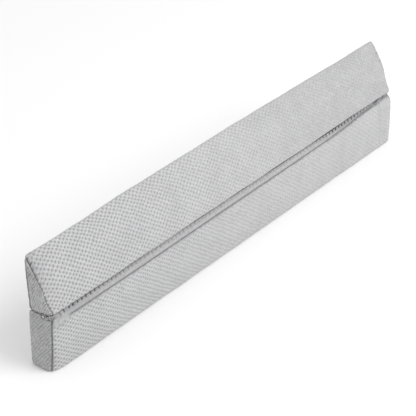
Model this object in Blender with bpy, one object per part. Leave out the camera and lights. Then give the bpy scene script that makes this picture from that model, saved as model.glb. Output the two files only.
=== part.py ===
"""Bed wedge pillow: a long filled wedge sewn along a waist to a long filled block.

Metres, +Z up. The pillow stands on the block's flat underside. X runs along the
pillow, the sloping front faces -Y, and the origin is under the middle of its box.
"""

import math
from collections import namedtuple

import bmesh
import bpy
from mathutils import Matrix, Vector

# Heights above the floor
RIDGE_HEIGHT = 0.2143      # top of the wedge, at mid length
BROW_HEIGHT = 0.1760       # bend between the upper and the lower slope
TIP_HEIGHT = 0.1135        # overhanging front edge of the wedge
HEEL_HEIGHT = 0.1068       # back edge of the wedge, above the waist
WAIST_HEIGHT = 0.1045      # plane of the sewn waist
SHOULDER_HEIGHT = 0.1010   # back edge of the block, below the waist
LIP_HEIGHT = 0.0925        # fold of the front panel under the zip
LIP_LIMIT = 0.1042         # highest point of that fold
CREST_HEIGHT = 0.1060      # top of the filled shoulder behind the zip
CREST_LIMIT = 0.1088       # its highest point, under the wedge

# Depths, counted forward from the block's back plane
BACK_PLANE = 0.0257        # Y of that plane
WEDGE_LEAN = 0.0032        # how far the top of the wedge leans back
RIDGE_WIDTH = 0.0065       # flat width of the ridge before rounding
BROW_DEPTH = 0.0285
TIP_DEPTH = 0.0525
BLOCK_DEPTH = 0.0530       # front panel at the lip
BOTTOM_DEPTH = 0.0525      # front panel at the floor
NECK_BACK = 0.0030         # the waist is drawn in to these depths
NECK_FRONT = 0.0400
BELLY = 0.0012             # swell of the block's front
STRIP_DEPTH = 0.0525       # lower edge of the strip over the zip
STRIP_LEAN = 0.27          # the strip goes back this much as it rises

# Lengths
BLOCK_HALF = 0.4985        # half length of the block's wrap, without its end panels
WEDGE_HALF = 0.4955        # half length of the wedge's wrap
PANEL_RIM = 0.0012         # thickness of an end panel at its seam
PANEL_CROWN = 0.0025       # how far an end panel swells past its seam
GAP = 0.0003               # play between pieces that touch

# How the ends are drawn in
RIDGE_BOW = 0.0058         # the ridge hangs this much lower near the ends
CORNER_DROP = 0.0070       # round fall of the ridge at each end
BROW_FALL = 0.42           # share of the ridge's fall that the brow follows
TIP_DRAW = 0.0035          # further pull on the right end of the wedge's front edge
BLOCK_LIFT = 0.0006        # how far the end seam lifts the block's underside
LIFT_SHARE = 0.1           # it lies flat where the seam's pull is below this share
DRAW_REACH = 0.0045        # the pull fades over this length
SLACK_LEFT = 1.0           # share of the slope's slackness at the left end seam
SLACK_RIGHT = 0.5          # and at the right one
SLACK_REACH = 0.0250       # the slackness fades over this length
RIDGE_NARROW = 0.0035      # what full slackness takes off the ridge's width
BROW_BACK = 0.0030         # how far it moves the brow back and down
BROW_DOWN = 0.0090
SLOPE_HOLLOW = 0.0033      # how far it hollows the lower slope
BOW_REACH = 0.0150         # the ends' bow fades over this length
RIPPLE = 0.0004            # slow unevenness of the filled faces

# The zip, along X
ZIP_LEFT = -0.4590         # ends of the strip
ZIP_RIGHT = 0.4425
RECESS_RIGHT = 0.4540      # the zip's recess goes on past the slider
FADE_LEFT = 0.0030         # lengths over which the recess runs out
FADE_RIGHT = 0.0100
ZIP_RISE_START = 0.2400    # from here the zip climbs towards the waist
ZIP_RISE = 0.0140
GROOVE = 0.0022            # height of the groove between fold and strip
SHELF = 0.0002             # rise of the fold's top towards the recess's floor
FLAP_TOP = 0.1102
FLAP_THICK = 0.0015
FLAP_BEVEL = 0.0011        # the strip's top edge runs along the wedge's underside
FLAP_CORNER = 0.0035       # round left end of the strip
CHAIN_WIDTH = 0.0011
SLIDER_SIZE = Vector((0.0075, 0.0046, 0.0016))
SLIDER_X = 0.4472
SLIDER_HEIGHT = 0.1072
SLIDER_TAIL = 0.66         # width of the slider's tail against its mouth
BRIDGE_RADIUS = 0.0023
BRIDGE_WIRE = 0.0011
PULL_LENGTH = 0.0105
PULL_WIDTH = 0.0040
PULL_BAR = 0.0011          # width of the pull's rails
PULL_THICK = 0.0009

# Distances from an end at which the long bodies get a ring of points
END_RINGS = (0, 0.0007, 0.0020, 0.0045, 0.0090, 0.0180)
WEDGE_RINGS = (*END_RINGS, 0.0320, 0.0500, 0.0760)
WEDGE_INNER = 0.1100
ROUND_SHARES = (0, 0.04, 0.16, 0.40, 0.70, 1)
WEDGE_STEP = 0.0600
ZIP_STEP = 0.0220
CORNER_STEPS = 4

# One corner of a cross-section: reach is how far its rounding runs along each side,
# puff how far the side after it swells, and cuts how many steps that side has
Corner = namedtuple("Corner", "depth height reach puff cuts")

# Pull of an end's seam on the front and the back, and how far the end bows out
Pull = namedtuple("Pull", "front back bow")
WEDGE_PULL = Pull(0.0020, 0.0003, 0)
BLOCK_PULL = Pull(0.0024, 0.0006, 0.0034)

# The block's front shoulder past the left and the right end of the zip
LEFT_SHOULDER = (
    Corner(0.0470, 0.1068, 0.0030, 0, 1),
    Corner(0.0508, 0.1040, 0.0030, 0, 1),
    Corner(0.0528, 0.0940, 0.0060, 0, 7),
)
RIGHT_SHOULDER = (
    Corner(0.0460, 0.1022, 0.0040, 0, 1),
    Corner(0.0510, 0.0970, 0.0040, 0, 1),
    Corner(0.0530, 0.0885, 0.0060, 0, 7),
)

# One ring of an end panel: size against its outline, and share of the crown
Ring = namedtuple("Ring", "size rise")
PANEL_RINGS = (Ring(0.975, 0.30), Ring(0.900, 0.62), Ring(0.740, 0.88), Ring(0.450, 1.00))


def clear_scene():
    for old in list(bpy.data.objects):
        bpy.data.objects.remove(old, do_unlink=True)


def new_collection(name):
    made = bpy.data.collections.new(name)
    bpy.context.scene.collection.children.link(made)
    return made


def new_material(name, color, roughness, metallic=0.0):
    made = bpy.data.materials.new(name)
    made.use_nodes = True
    shader = made.node_tree.nodes["Principled BSDF"]
    shader.inputs["Base Color"].default_value = (*color, 1.0)
    shader.inputs["Roughness"].default_value = roughness
    shader.inputs["Metallic"].default_value = metallic
    return made


def add_object(name, bm, material, collection, sharp_angle=50):
    """Closes a bmesh into a smooth-shaded object with one material."""
    bmesh.ops.recalc_face_normals(bm, faces=bm.faces)
    mesh = bpy.data.meshes.new(name)
    bm.to_mesh(mesh)
    bm.free()
    mesh.shade_smooth()
    mesh.set_sharp_from_angle(angle=math.radians(sharp_angle))
    made = bpy.data.objects.new(name, mesh)
    made.data.materials.append(material)
    collection.objects.link(made)
    return made


def smooth_step(value):
    value = min(1.0, max(0.0, value))
    return value * value * (3 - 2 * value)


def blend(first, second, share):
    return first + (second - first) * share


# Cross-sections, in depth and height


def rounded_corner(before, corner, after):
    """Points of one softened corner, from the side before it to the side after it."""
    here = Vector((corner.depth, corner.height))
    back = Vector((before.depth, before.height)) - here
    ahead = Vector((after.depth, after.height)) - here
    start = here + back.normalized() * min(corner.reach, 0.46 * back.length)
    end = here + ahead.normalized() * min(corner.reach, 0.46 * ahead.length)
    shares = [step / CORNER_STEPS for step in range(CORNER_STEPS + 1)]
    return [start.lerp(here, t).lerp(here.lerp(end, t), t) for t in shares]


def swollen_side(start, end, puff, cuts):
    """Points between two corners, on a side that swells outwards."""
    along = (end - start).normalized()
    outward = Vector((-along.y, along.x))
    shares = [step / cuts for step in range(1, cuts)]
    return [start.lerp(end, t) + outward * (4 * puff * t * (1 - t)) for t in shares]


def outline(corners):
    """Closed outline through rounded corners and swollen sides."""
    count = len(corners)
    rounds = []
    for index, corner in enumerate(corners):
        rounds.append(rounded_corner(corners[index - 1], corner, corners[(index + 1) % count]))
    points = []
    for index, corner in enumerate(corners):
        end = rounds[(index + 1) % count][0]
        points += rounds[index]
        points += swollen_side(rounds[index][-1], end, corner.puff, corner.cuts)
    return points


def drawn_in(points, pull, share, lift=0.0):
    """The outline narrowed front and back, and lifted off the floor, by its end's seam."""
    middle = 0.5 * BOTTOM_DEPTH
    raised = lift * max(0.0, share - LIFT_SHARE) / (1 - LIFT_SHARE)
    moved = []
    for point in points:
        draw = pull.front if point.x > middle else pull.back
        depth = middle + (point.x - middle) * (1 - share * draw / middle)
        height = point.y + raised * max(0.0, 1 - 2 * point.y / WAIST_HEIGHT)
        moved.append(Vector((depth, height)))
    return moved


def ripple(x, phase):
    return RIPPLE * (math.sin(19 * x + phase) + 0.6 * math.sin(43 * x + 2 * phase))


def seam_pull(from_end):
    """Share of the end seam's pull at this distance from the end, 1 on the seam."""
    return math.exp(-from_end / DRAW_REACH)


def slackness(x, from_end):
    """How slack the slope is here: it is less full near its end seams."""
    most = SLACK_LEFT if x < 0 else SLACK_RIGHT
    return most * math.exp(-from_end / SLACK_REACH)


def ridge_fall(x, from_end):
    """How much lower the ridge is here than at mid length."""
    bow = RIDGE_BOW * (x / WEDGE_HALF) ** 2
    rest = max(0.0, CORNER_DROP - from_end)
    return bow + CORNER_DROP - math.sqrt(CORNER_DROP ** 2 - rest ** 2)


def wedge_section(x):
    from_end = WEDGE_HALF - abs(x)
    pull = seam_pull(from_end)
    fall = ridge_fall(x, from_end)
    slack = slackness(x, from_end)
    ridge = RIDGE_HEIGHT - fall + ripple(x, 0.4)
    ridge_front = RIDGE_WIDTH - WEDGE_LEAN - RIDGE_NARROW * slack
    brow = BROW_HEIGHT - BROW_FALL * fall - BROW_DOWN * slack
    brow_depth = BROW_DEPTH + ripple(x, 1.7) - BROW_BACK * slack
    tip = TIP_DEPTH - (TIP_DRAW * pull if x > 0 else 0)
    plane = WAIST_HEIGHT + GAP
    full = 1 - 0.6 * pull
    corners = (
        Corner(NECK_BACK, plane, 0.0012, 0, 1),
        Corner(-0.0005, HEEL_HEIGHT, 0.0030, 0.0010 * full, 5),
        Corner(-WEDGE_LEAN, ridge, 0.0040, 0, 1),
        Corner(ridge_front, ridge, 0.0050, 0.0012 * full, 4),
        Corner(brow_depth, brow, 0.0150, 0.0010 * full - SLOPE_HOLLOW * slack, 5),
        Corner(tip, TIP_HEIGHT, 0.0035, 0, 2),
        Corner(NECK_FRONT, plane, 0.0015, 0, 3),
    )
    return drawn_in(outline(corners), WEDGE_PULL, pull)


def zip_share(x):
    """1 along the zip and its slider, and 0 past both its ends."""
    left = smooth_step((x - ZIP_LEFT + FADE_LEFT) / FADE_LEFT)
    right = smooth_step((RECESS_RIGHT + FADE_RIGHT - x) / FADE_RIGHT)
    return left * right


def strip_edge(x):
    """Height of the strip's lower edge, which climbs to the waist on the right."""
    climb = smooth_step((x - ZIP_RISE_START) / (ZIP_RIGHT - ZIP_RISE_START))
    return LIP_HEIGHT + GROOVE + ZIP_RISE * climb


def lip_height(x):
    """Height of the front panel's fold, which stops short of the waist."""
    return min(strip_edge(x) - GROOVE, LIP_LIMIT)


def strip_depth(height, inwards=0.0):
    """Depth of the strip's outer face at a height, or of a plane this far behind it."""
    outer = STRIP_DEPTH - STRIP_LEAN * (height - LIP_HEIGHT - GROOVE)
    return outer - inwards * math.hypot(1, STRIP_LEAN)


def zipped_shoulder(x):
    """Crest over the recess's floor, and below the floor the fold of the front panel."""
    lip = lip_height(x)
    crest = min(max(CREST_HEIGHT, strip_edge(x) + 2 * GAP), CREST_LIMIT)
    behind = FLAP_THICK + GAP
    lip_depth = BLOCK_DEPTH - STRIP_LEAN * (lip - LIP_HEIGHT)
    return (
        Corner(strip_depth(crest, behind), crest, 0.0010, 0, 1),
        Corner(strip_depth(lip + SHELF, behind), lip + SHELF, 0.0003, 0, 1),
        Corner(lip_depth, lip, 0.0012, 0, 7),
    )


def blended(first, second, share):
    """A corner between two others, with the first one's cuts."""
    values = [blend(one, other, share) for one, other in zip(first[:4], second[:4])]
    return Corner(*values, first.cuts)


def block_section(x):
    pull = seam_pull(BLOCK_HALF - abs(x))
    share = zip_share(x)
    plain = LEFT_SHOULDER if x < 0 else RIGHT_SHOULDER
    shoulder = [blended(one, other, share) for one, other in zip(plain, zipped_shoulder(x))]
    shoulder[-1] = shoulder[-1]._replace(puff=BELLY + ripple(x, 2.9))
    corners = (
        Corner(0, 0, 0.0055, 0, 2),
        Corner(-0.0005, SHOULDER_HEIGHT, 0.0040, 0, 1),
        Corner(NECK_BACK, WAIST_HEIGHT, 0.0012, 0, 3),
        Corner(NECK_FRONT, WAIST_HEIGHT, 0.0015, 0, 2),
        *shoulder,
        Corner(BOTTOM_DEPTH, 0, 0.0035, 0, 3),
    )
    return drawn_in(outline(corners), BLOCK_PULL, pull, BLOCK_LIFT)


def flap_section(x):
    """The strip over the zip: free lower edge, upper edge under the wedge."""
    into_end = max(0.0, 1 - (x - ZIP_LEFT) / FLAP_CORNER)
    room = FLAP_TOP - strip_edge(x) - 1.4 * FLAP_BEVEL
    low = strip_edge(x) + room * (1 - math.sqrt(max(0.0, 1 - into_end ** 2)))
    back = FLAP_TOP - FLAP_BEVEL
    corners = (
        Corner(strip_depth(low, FLAP_THICK), low, 0.0006, 0, 1),
        Corner(strip_depth(back, FLAP_THICK), back, 0.0004, 0, 1),
        Corner(strip_depth(FLAP_TOP), FLAP_TOP, 0.0004, 0, 1),
        Corner(strip_depth(low), low, 0.0006, 0, 1),
    )
    return outline(corners)


# Solids


def even_positions(start, end, step):
    """X of evenly spaced rings from start to end."""
    count = round((end - start) / step)
    return [blend(start, end, index / count) for index in range(count + 1)]


def zip_positions():
    """X of the rings along the strip, shared by all that lies along the zip."""
    round_end = [ZIP_LEFT + FLAP_CORNER * share for share in ROUND_SHARES]
    return round_end[:-1] + even_positions(round_end[-1], ZIP_RIGHT, ZIP_STEP)


def with_ends(half, middle, rings=END_RINGS):
    """X of every ring of a long body, dense near both its ends."""
    left = [ring - half for ring in rings]
    return left + middle + [-x for x in reversed(left)]


def block_positions():
    faded = RECESS_RIGHT + FADE_RIGHT
    past = [RECESS_RIGHT, blend(RECESS_RIGHT, faded, 0.5), faded]
    return with_ends(BLOCK_HALF, [ZIP_LEFT - FADE_LEFT] + zip_positions() + past)


def wedge_positions():
    inner = WEDGE_HALF - WEDGE_INNER
    return with_ends(WEDGE_HALF, even_positions(-inner, inner, WEDGE_STEP), WEDGE_RINGS)


def bowed(depth, bow):
    """How far an end bows out at a depth, most at mid depth."""
    off_centre = 2 * depth / BOTTOM_DEPTH - 1
    return bow * max(0.0, 1 - off_centre ** 2)


def placed(x, points, half=1.0, bow=0.0):
    """Points of a section in space, pushed out along X near a bowed end."""
    share = math.copysign(math.exp((abs(x) - half) / BOW_REACH), x)
    return [Vector((x + share * bowed(p.x, bow), BACK_PLANE - p.x, p.y)) for p in points]


def loft(name, xs, section, material, collection, bow=0.0):
    """Long body through unlike cross-sections, closed by a low fan at each end."""
    bm = bmesh.new()
    rings = []
    for x in xs:
        points = placed(x, section(x), max(xs), bow)
        rings.append([bm.verts.new(point) for point in points])
    for ring, following in zip(rings, rings[1:]):
        for index in range(len(ring)):
            after = (index + 1) % len(ring)
            bm.faces.new((ring[index], ring[after], following[after], following[index]))
    caps = [bm.faces.new(rings[0]), bm.faces.new(reversed(rings[-1]))]
    bmesh.ops.poke(bm, faces=caps)
    return add_object(name, bm, material, collection)


def end_panel(name, side, half, section, bow, material, collection):
    """Sewn-on end panel: a thin rim on the wrap's outline, swelling to a low crown."""
    bm = bmesh.new()
    points = placed(side * half, section(side * half), half, bow)
    centre = sum(points, Vector()) / len(points)
    inner = bm.faces.new([bm.verts.new(point) for point in points])
    cap = inner
    last_size = 1.0
    for ring in (Ring(1.0, 0.0), *PANEL_RINGS):
        made = bmesh.ops.extrude_face_region(bm, geom=[cap])["geom"]
        verts = [item for item in made if isinstance(item, bmesh.types.BMVert)]
        if cap is not inner:
            bmesh.ops.delete(bm, geom=[cap], context="FACES_ONLY")
        cap = next(item for item in made if isinstance(item, bmesh.types.BMFace))
        size = ring.size / last_size
        bmesh.ops.scale(bm, verts=verts, vec=(1, size, size), space=Matrix.Translation(-centre))
        for vert in verts:
            reach = half + PANEL_RIM + PANEL_CROWN * ring.rise
            vert.co.x = side * (reach + bowed(BACK_PLANE - vert.co.y, bow))
        last_size = ring.size
    bmesh.ops.poke(bm, faces=[inner, cap])
    bmesh.ops.translate(bm, verts=bm.verts, vec=(side * GAP, 0, 0))
    return add_object(name, bm, material, collection, sharp_angle=70)


def zip_chain(material, collection):
    """The closed chain in the groove between the strip and the front panel."""
    data = bpy.data.curves.new("zip_chain", "CURVE")
    data.dimensions = "3D"
    data.bevel_depth = CHAIN_WIDTH / 2
    data.bevel_resolution = 1
    data.use_fill_caps = True
    end = SLIDER_X - 0.5 * SLIDER_SIZE.x - GAP
    xs = [x for x in zip_positions() if x >= ZIP_LEFT + FLAP_CORNER] + [end]
    line = data.splines.new("POLY")
    line.points.add(len(xs) - 1)
    for point, x in zip(line.points, xs):
        height = strip_edge(x) - 0.5 * GROOVE
        depth = strip_depth(height, FLAP_THICK - 0.5 * CHAIN_WIDTH)
        point.co = (x, BACK_PLANE - depth, height, 1)
    made = bpy.data.objects.new("zip_chain", data)
    made.data.materials.append(material)
    collection.objects.link(made)
    return made


def slider_frame():
    """Frame of the slider: X along the zip, Z out of the recess's floor."""
    along = Vector((1, 0, 0))
    up = Vector((0, STRIP_LEAN, 1)).normalized()
    out = along.cross(up)
    depth = strip_depth(SLIDER_HEIGHT, FLAP_THICK)
    seat = Vector((SLIDER_X, BACK_PLANE - depth, SLIDER_HEIGHT))
    turn = Matrix((along, up, out)).transposed().to_4x4()
    return Matrix.Translation(seat) @ turn


def zip_slider(frame, material, collection, cutters):
    """Slider body, narrower at its tail, with a wire bridge for the pull."""
    bm = bmesh.new()
    bmesh.ops.create_cube(bm, size=1)
    bmesh.ops.scale(bm, verts=bm.verts, vec=SLIDER_SIZE)
    bmesh.ops.translate(bm, verts=bm.verts, vec=(0, 0, SLIDER_SIZE.z / 2))
    tail = [vert for vert in bm.verts if vert.co.x < 0]
    bmesh.ops.scale(bm, verts=tail, vec=(1, SLIDER_TAIL, 1))
    bmesh.ops.bevel(bm, geom=bm.edges, affect="EDGES", offset=0.0005, segments=2, profile=0.5, material=-1)
    body = add_object("zip_slider", bm, material, collection)
    data = bpy.data.curves.new("bridge_wire", "CURVE")
    data.dimensions = "3D"
    data.bevel_depth = BRIDGE_WIRE / 2
    data.bevel_resolution = 2
    data.use_fill_caps = True
    feet = 0.0006
    arc = [math.pi * step / 8 for step in range(9)]
    route = [Vector((-BRIDGE_RADIUS, 0, SLIDER_SIZE.z - feet))]
    for angle in arc:
        height = SLIDER_SIZE.z + BRIDGE_RADIUS * math.sin(angle)
        route.append(Vector((-BRIDGE_RADIUS * math.cos(angle), 0, height)))
    route.append(Vector((BRIDGE_RADIUS, 0, SLIDER_SIZE.z - feet)))
    line = data.splines.new("POLY")
    line.points.add(len(route) - 1)
    for point, place in zip(line.points, route):
        point.co = (*place, 1)
    wire = bpy.data.objects.new("bridge_wire", data)
    collection.objects.link(wire)
    bridge = mesh_cutter(wire, cutters)
    join = body.modifiers.new("bridge", "BOOLEAN")
    join.operation = "UNION"
    join.object = bridge
    body.matrix_world = frame
    bridge.parent = body
    return body


def mesh_cutter(wire, cutters):
    """A closed mesh made from a wire, kept with the cutters."""
    graph = bpy.context.evaluated_depsgraph_get()
    mesh = bpy.data.meshes.new_from_object(wire.evaluated_get(graph))
    bm = bmesh.new()
    bm.from_mesh(mesh)
    bmesh.ops.remove_doubles(bm, verts=bm.verts, dist=0.00001)
    bmesh.ops.recalc_face_normals(bm, faces=bm.faces)
    bm.to_mesh(mesh)
    bm.free()
    made = bpy.data.objects.new(wire.name + "_mesh", mesh)
    made.matrix_world = wire.matrix_world
    made.hide_render = True
    made.display_type = "WIRE"
    cutters.objects.link(made)
    bpy.data.objects.remove(wire, do_unlink=True)
    return made


def zip_pull(frame, material, collection):
    """Flat looped pull that lies along the zip, its bar under the slider's bridge."""
    data = bpy.data.curves.new("zip_pull", "CURVE")
    data.dimensions = "2D"
    data.fill_mode = "BOTH"
    data.extrude = PULL_THICK / 2
    for inset in (0.0, PULL_BAR):
        half = PULL_WIDTH / 2 - inset
        left = -PULL_BAR / 2 + inset + half
        right = PULL_LENGTH - PULL_BAR / 2 - inset - half
        line = data.splines.new("POLY")
        turns = [math.pi * (0.5 + step / 6) for step in range(7)]
        ends = [(left, turn) for turn in turns] + [(right, turn + math.pi) for turn in turns]
        line.points.add(len(ends) - 1)
        for point, (middle, turn) in zip(line.points, ends):
            point.co = (middle + half * math.cos(turn), half * math.sin(turn), 0, 1)
        line.use_cyclic_u = True
    made = bpy.data.objects.new("zip_pull", data)
    made.data.materials.append(material)
    collection.objects.link(made)
    lift = SLIDER_SIZE.z + GAP + PULL_THICK / 2
    made.matrix_world = frame @ Matrix.Translation((0, 0, lift))
    return made


def build():
    clear_scene()
    parts = new_collection("bed_wedge_pillow")
    cutters = new_collection("cutters")
    knit = new_material("knit_wrap", (0.62, 0.62, 0.63), 0.90)
    panel = new_material("knit_end_panel", (0.58, 0.58, 0.59), 0.92)
    strip = new_material("knit_strip", (0.60, 0.60, 0.61), 0.90)
    coil = new_material("zip_coil", (0.16, 0.16, 0.17), 0.55)
    metal = new_material("zip_metal", (0.45, 0.47, 0.46), 0.35, metallic=0.9)

    wedge_bow = WEDGE_PULL.bow
    block_bow = BLOCK_PULL.bow
    loft("wedge_cushion", wedge_positions(), wedge_section, knit, parts, wedge_bow)
    loft("block_cushion", block_positions(), block_section, knit, parts, block_bow)
    loft("zip_flap", zip_positions(), flap_section, strip, parts)
    for word, side in (("left", -1), ("right", 1)):
        end_panel("wedge_end_" + word, side, WEDGE_HALF, wedge_section, wedge_bow, panel, parts)
        end_panel("block_end_" + word, side, BLOCK_HALF, block_section, block_bow, panel, parts)

    zip_chain(coil, parts)
    frame = slider_frame()
    zip_slider(frame, metal, parts, cutters)
    zip_pull(frame, metal, parts)


build()
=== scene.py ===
import math

import bmesh
import bpy
import numpy as np
from mathutils import Matrix, Vector


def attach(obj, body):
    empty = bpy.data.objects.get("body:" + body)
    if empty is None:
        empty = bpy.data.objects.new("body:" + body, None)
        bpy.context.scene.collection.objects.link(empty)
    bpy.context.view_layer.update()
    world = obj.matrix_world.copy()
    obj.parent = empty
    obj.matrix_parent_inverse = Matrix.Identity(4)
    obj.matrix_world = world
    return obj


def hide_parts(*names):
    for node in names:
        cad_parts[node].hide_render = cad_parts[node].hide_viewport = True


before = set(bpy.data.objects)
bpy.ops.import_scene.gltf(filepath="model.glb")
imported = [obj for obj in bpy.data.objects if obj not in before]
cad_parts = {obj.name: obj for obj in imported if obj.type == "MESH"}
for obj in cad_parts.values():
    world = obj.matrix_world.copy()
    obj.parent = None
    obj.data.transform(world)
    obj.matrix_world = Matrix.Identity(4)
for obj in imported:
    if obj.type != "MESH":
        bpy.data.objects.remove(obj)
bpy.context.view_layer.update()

print("frame loaded:", len(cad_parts), "nodes")


# Shader helpers: a wrapped socket that does maths, and a finish that makes its nodes
class Signal:
    def __init__(self, finish, socket):
        self.finish = finish
        self.socket = socket

    def maths(self, operation, *others):
        values = dict(enumerate((self, *others)))
        return self.finish.node("ShaderNodeMath", {"operation": operation}, values)[0]

    def __add__(self, other):
        return self.maths("ADD", other)

    def __sub__(self, other):
        return self.maths("SUBTRACT", other)

    def __rsub__(self, other):
        return self.maths("MULTIPLY_ADD", -1.0, other)

    def __mul__(self, other):
        return self.maths("MULTIPLY", other)

    def __truediv__(self, other):
        return self.maths("DIVIDE", other)

    __radd__ = __add__
    __rmul__ = __mul__

    def toNearest(self):  # signed distance to the nearest whole number
        return self - self.maths("ROUND")

    def ramp(self, low, high, first=0.0, last=1.0):  # smooth step between two values
        return self.finish.node("ShaderNodeMapRange", {"interpolation_type": "SMOOTHSTEP"}, {
            "Value": self, "From Min": low, "From Max": high, "To Min": first, "To Max": last})["Result"]


class Outputs:
    def __init__(self, finish, made):
        self.finish = finish
        self.made = made

    def __getitem__(self, key):
        return Signal(self.finish, self.made.outputs[key])


class Finish:
    def __init__(self, name, roughness, metallic=0.0, sheen=0.0):
        self.material = bpy.data.materials.new(name)
        self.material.use_nodes = True
        self.tree = self.material.node_tree
        self.shader = self.tree.nodes["Principled BSDF"]
        self.shader.inputs["Roughness"].default_value = roughness
        self.shader.inputs["Metallic"].default_value = metallic
        self.shader.inputs["Sheen Weight"].default_value = sheen

    def node(self, kind, settings=None, inputs=None):
        made = self.tree.nodes.new(kind)
        for key, setting in (settings or {}).items():
            setattr(made, key, setting)
        for key, value in (inputs or {}).items():
            if isinstance(value, Signal):
                self.tree.links.new(value.socket, made.inputs[key])
            else:
                made.inputs[key].default_value = value
        return Outputs(self, made)

    def local(self):
        return self.node("ShaderNodeTexCoord")["Object"]

    def weave(self):
        return self.node("ShaderNodeUVMap", {"uv_map": "knit"})[0]

    def mark(self, name):
        return self.node("ShaderNodeAttribute", {"attribute_name": name})["Fac"]

    def noise(self, vector, scale, detail=2.0):
        inputs = {"Vector": vector, "Scale": scale, "Detail": detail}
        return self.node("ShaderNodeTexNoise", None, inputs)[0]

    def loops(self, vector, scale):  # cells like the knit's own small loops
        return self.node("ShaderNodeTexVoronoi", None, {"Vector": vector, "Scale": scale})["Distance"]

    def mapped(self, vector, turn, scale):
        return self.node("ShaderNodeMapping", None, {
            "Vector": vector, "Rotation": (0.0, 0.0, turn), "Scale": scale})["Vector"]

    def feed(self, name, signal):
        self.tree.links.new(signal.socket, self.shader.inputs[name])

    def layers(self, look, *named):  # colours over the ground, as (name, share)
        color = look["ground"]
        for name, share in named:
            color = self.node("ShaderNodeMix", {"data_type": "RGBA"}, {0: share, 6: color, 7: look[name]})[2]
        self.feed("Base Color", color)

    def bump(self, height, distance, strength):
        self.feed("Normal", self.node("ShaderNodeBump", None, {
            "Height": height, "Distance": distance, "Strength": strength})["Normal"])


def grey(value, blue=0.0):
    return (value, value, value + blue, 1)


# Sizes that the whole pillow shares, in metres, as in the part's source
pillow = {
    "backPlane": 0.0257, "bottomDepth": 0.0525, "neckBack": 0.003, "neckFront": 0.04,
    "neckBackRound": 0.0012, "neckFrontRound": 0.0015, "backBow": -0.0005, "waist": 0.1045, "gap": 0.0003,
    "drawReach": 0.0045, "ripple": 0.0004, "waves": (19, 43), "secondWave": 0.6,
}

# The dimpled knit: its dimples stand in staggered rows, each a few mesh cells wide
knit = {
    "pitchX": 0.0115, "pitchY": 0.0087, "cells": 6, "dimple": 0.001, "halfWide": 0.0019, "halfTall": 0.0027,
}

# The zip under the wedge's front edge, the strip over it and the groove behind the strip
zipper = {
    "right": 0.4425, "recessRight": 0.454, "fadeFrom": -0.476, "fadeTo": -0.456, "fadeRight": 0.01,
    "hidden": -0.479, "sink": 0.003, "sinkFrom": -0.4575, "sinkOver": 0.014,
    "lip": 0.0925, "lipLimit": 0.1046, "crest": 0.106, "crestLimit": 0.1088, "shelf": 0.0002,
    "stripDepth": 0.0525, "edgeUp": 0.0022, "lean": 0.27, "stripTop": 0.1102, "stripThick": 0.0015,
}

# What changes along the pillow, each as a line through (x, value) with softened bends
lines = {
    "zipHeight": ((-0.47, 0.0942), (-0.3, 0.0943), (-0.05, 0.0959), (0.15, 0.0962), (0.275, 0.0973),
                  (0.345, 0.0999), (0.39, 0.1042), (0.42, 0.1057), (0.46, 0.1074)),
    "edgeRise": ((-0.4955, -0.0006), (-0.46, -0.0022), (-0.3, -0.0027), (-0.1, -0.002), (0.1, -0.0013),
                 (0.24, -0.0008), (0.33, 0.0012), (0.38, 0.002), (0.43, 0.0024), (0.4955, 0.0)),
    "lipGap": ((-0.47, 0.0038), (-0.4, 0.0034), (-0.28, 0.003), (0.24, 0.003), (0.34, 0.004), (0.46, 0.0044)),
    "gathers": ((-0.492, 0.0), (-0.48, 0.25), (-0.466, 0.74), (-0.4, 0.7), (-0.36, 0.58), (-0.28, 0.44),
                (0.0, 0.36), (0.22, 0.42), (0.27, 0.6), (0.31, 0.85), (0.375, 0.85), (0.4, 0.5), (0.44, 0.6)),
    # edgeShade, stripShade, stripDark and lipShade: how strong the painted shade is under the wedge's edge,
    # over the strip, at the strip's top and by the slider, and on the zip's lip
    "edgeShade": ((-0.47, 0.35), (-0.4, 0.6), (-0.3, 0.85), (0.24, 0.75), (0.32, 1.3), (0.45, 1.4)),
    "stripShade": ((-0.48, 0.6), (-0.44, 0.5), (-0.36, 0.26), (-0.28, 0.1), (0.22, 0.0), (0.3, 0.5),
                   (0.34, 1.1), (0.45, 1.4)),
    "stripDark": ((-0.475, 0.0), (-0.46, 0.42), (-0.38, 0.4), (-0.3, 0.3), (-0.15, 0.2), (0.2, 0.18),
                  (0.31, 0.22), (0.36, 0.4), (0.42, 0.42), (0.435, 0.55), (0.46, 0.6)),
    "lipShade": ((0.28, 0.65), (0.34, 0.9), (0.38, 1.4), (0.45, 1.6)),
}
bendSteps = (-0.015, -0.005, 0.005, 0.015)


def alongLine(name, x):
    places, values = zip(*lines[name])
    return float(np.mean([np.interp(x + step, places, values) for step in bendSteps]))


def columnOf(function, xs):  # one value for each row of a cover
    return np.array([function(x) for x in xs])[:, None]


def columnAlong(name, xs):
    return columnOf(lambda x: alongLine(name, x), xs)


def smoothStep(value):
    value = np.clip(value, 0.0, 1.0)
    return value * value * (3 - 2 * value)


def rising(values, start, over):  # smooth step from 0 at the start to 1, over a length
    return smoothStep((values - start) / over)


def mixed(first, second, share):
    return first + (second - first) * share


def ripple(x, phase):
    slow, quick = pillow["waves"]
    second = pillow["secondWave"] * math.sin(quick * x + 2 * phase)
    return pillow["ripple"] * (math.sin(slow * x + phase) + second)


# Outline through corners (depth, height, reach, puff), with as many steps in a round as in a side
rounding = {"steps": 10, "limit": 0.46}
perCorner = 2 * rounding["steps"]


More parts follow.
